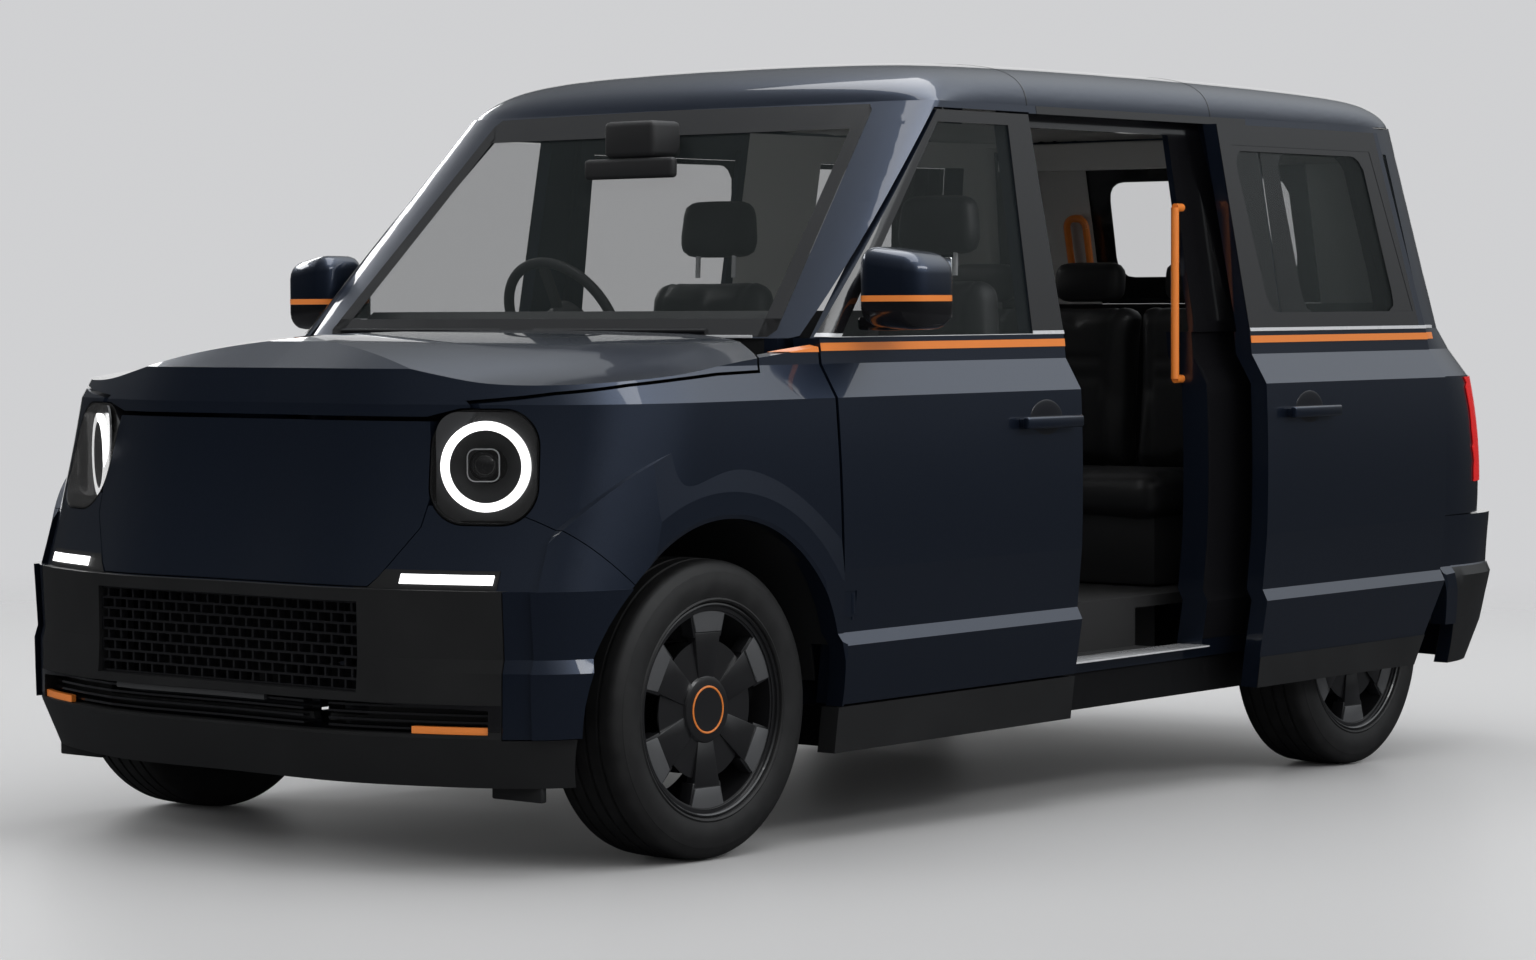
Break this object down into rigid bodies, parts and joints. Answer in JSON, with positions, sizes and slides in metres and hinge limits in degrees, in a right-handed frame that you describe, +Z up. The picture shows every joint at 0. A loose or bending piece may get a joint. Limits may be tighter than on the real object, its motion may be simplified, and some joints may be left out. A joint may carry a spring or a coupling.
{
  "type": "taxi cab",
  "caption": "Tall passenger cab with round lamps, blank nose panel, sliding rear doors with the left one open, steered front wheels and hinged doors, bonnet and tailgate.",
  "frame": {"origin": "on the ground under the middle of the overall box, with the wheels on the ground", "axes": "+X to the cab's left, -Y to its front, +Z up"},
  "size_m": [2.08, 4.4212, 1.939],
  "materials": {
    "body_paint": "deep gloss clear coat",
    "dark_moulding": "fine grain",
    "black_gloss": "gloss",
    "window_glass": "tinted",
    "lamp_lens": "clear moulded lens",
    "red_lens": "moulded lens",
    "tyre_rubber": "moulded",
    "wheel_cover": "satin",
    "seat_cover": "soft grain",
    "cabin_plastic": "soft grain",
    "floor_cover": "ribbed",
    "handle_orange": "satin",
    "chassis_steel": "satin black coating",
    "battery_case": "cast and coated"
  },
  "bodies": {
    "body": {"battery_pack": "battery_case", "body_side_left": "body_paint", "body_side_right": "body_paint", "bulkhead": "chassis_steel", "bumper_corners": "body_paint", "cowl": "dark_moulding", "dashboard": "cabin_plastic", "door_runners": "chassis_steel", "floor_platform": "floor_cover", "front_bumper": "dark_moulding", "front_carrier": "dark_moulding", "front_fender_left": "body_paint", "front_fender_right": "body_paint", "front_panel": "body_paint", "front_seats": "seat_cover", "front_subframe": "chassis_steel", "grab_handles": "handle_orange", "grille_mesh": "black_gloss", "headlamps": "lamp_lens", "rear_axle": "chassis_steel", "rear_bench": "seat_cover", "rear_bumper": "body_paint", "rockers": "chassis_steel", "roof_panel": "body_paint", "side_glass": "window_glass", "sill_covers": "dark_moulding", "sliding_door_left": "body_paint", "sliding_door_right": "body_paint", "tail_lamps": "red_lens", "wheel_housings": "dark_moulding", "windscreen": "window_glass", "wipers": "black_gloss"},
    "bonnet": {"bonnet": "body_paint"},
    "tailgate": {"tailgate": "body_paint", "rear_window": "window_glass"},
    "front_door_left": {"front_door_left": "body_paint", "door_glass_left": "window_glass", "mirror_left": "body_paint"},
    "front_door_right": {"front_door_right": "body_paint", "door_glass_right": "window_glass", "mirror_right": "body_paint"},
    "steering_wheel": {"steering_wheel": "cabin_plastic"},
    "knuckle_left": {"knuckle_left": "chassis_steel"},
    "knuckle_right": {"knuckle_right": "chassis_steel"},
    "wheel_fl": {"tyre_fl": "tyre_rubber", "rim_fl": "wheel_cover"},
    "wheel_fr": {"tyre_fr": "tyre_rubber", "rim_fr": "wheel_cover"},
    "wheel_rl": {"tyre_rl": "tyre_rubber", "rim_rl": "wheel_cover"},
    "wheel_rr": {"tyre_rr": "tyre_rubber", "rim_rr": "wheel_cover"}
  },
  "joints": [
    {"name": "bonnet_hinge", "type": "hinge", "parent": "body", "child": "bonnet", "pos_m": [0, -1.20704, 1.16548], "axis": [-1, 0, 0], "range_deg": [0, 55]},
    {"name": "tailgate_hinge", "type": "hinge", "parent": "body", "child": "tailgate", "pos_m": [0, 1.82449, 1.79148], "axis": [1, 0, 0], "range_deg": [0, 85]},
    {"name": "front_door_left_hinge", "type": "hinge", "parent": "body", "child": "front_door_left", "pos_m": [0.924, -1.04426, 0.77826], "axis": [0, 0.0175, -0.9998], "range_deg": [0, 65]},
    {"name": "front_door_right_hinge", "type": "hinge", "parent": "body", "child": "front_door_right", "pos_m": [-0.924, -1.04426, 0.77826], "axis": [0, -0.0175, 0.9998], "range_deg": [0, 65]},
    {"name": "steer_left", "type": "hinge", "parent": "body", "child": "knuckle_left", "pos_m": [0.64, -1.51075, 0.345], "axis": [0, 0, 1], "range_deg": [-36, 36]},
    {"name": "steer_right", "type": "hinge", "parent": "body", "child": "knuckle_right", "pos_m": [-0.64, -1.51075, 0.345], "axis": [0, 0, 1], "range_deg": [-36, 36]},
    {"name": "steering_wheel_turn", "type": "hinge", "parent": "body", "child": "steering_wheel", "pos_m": [-0.38, -0.61715, 1.23378], "axis": [0, 0.8829, 0.4695], "range_deg": [-504, 504]},
    {"name": "wheel_fl_spin", "type": "hinge", "parent": "knuckle_left", "child": "wheel_fl", "pos_m": [0.792, -1.51075, 0.345], "axis": [1, 0, 0], "continuous": true},
    {"name": "wheel_fr_spin", "type": "hinge", "parent": "knuckle_right", "child": "wheel_fr", "pos_m": [-0.792, -1.51075, 0.345], "axis": [1, 0, 0], "continuous": true},
    {"name": "wheel_rl_spin", "type": "hinge", "parent": "body", "child": "wheel_rl", "pos_m": [0.792, 1.34225, 0.345], "axis": [1, 0, 0], "continuous": true},
    {"name": "wheel_rr_spin", "type": "hinge", "parent": "body", "child": "wheel_rr", "pos_m": [-0.792, 1.34225, 0.345], "axis": [1, 0, 0], "continuous": true}
  ],
  "couplings": [
    {"joint": "steer_right", "follows": "steer_left", "ratio": 1},
    {"joint": "steering_wheel_turn", "follows": "steer_left", "ratio": 14}
  ]
}
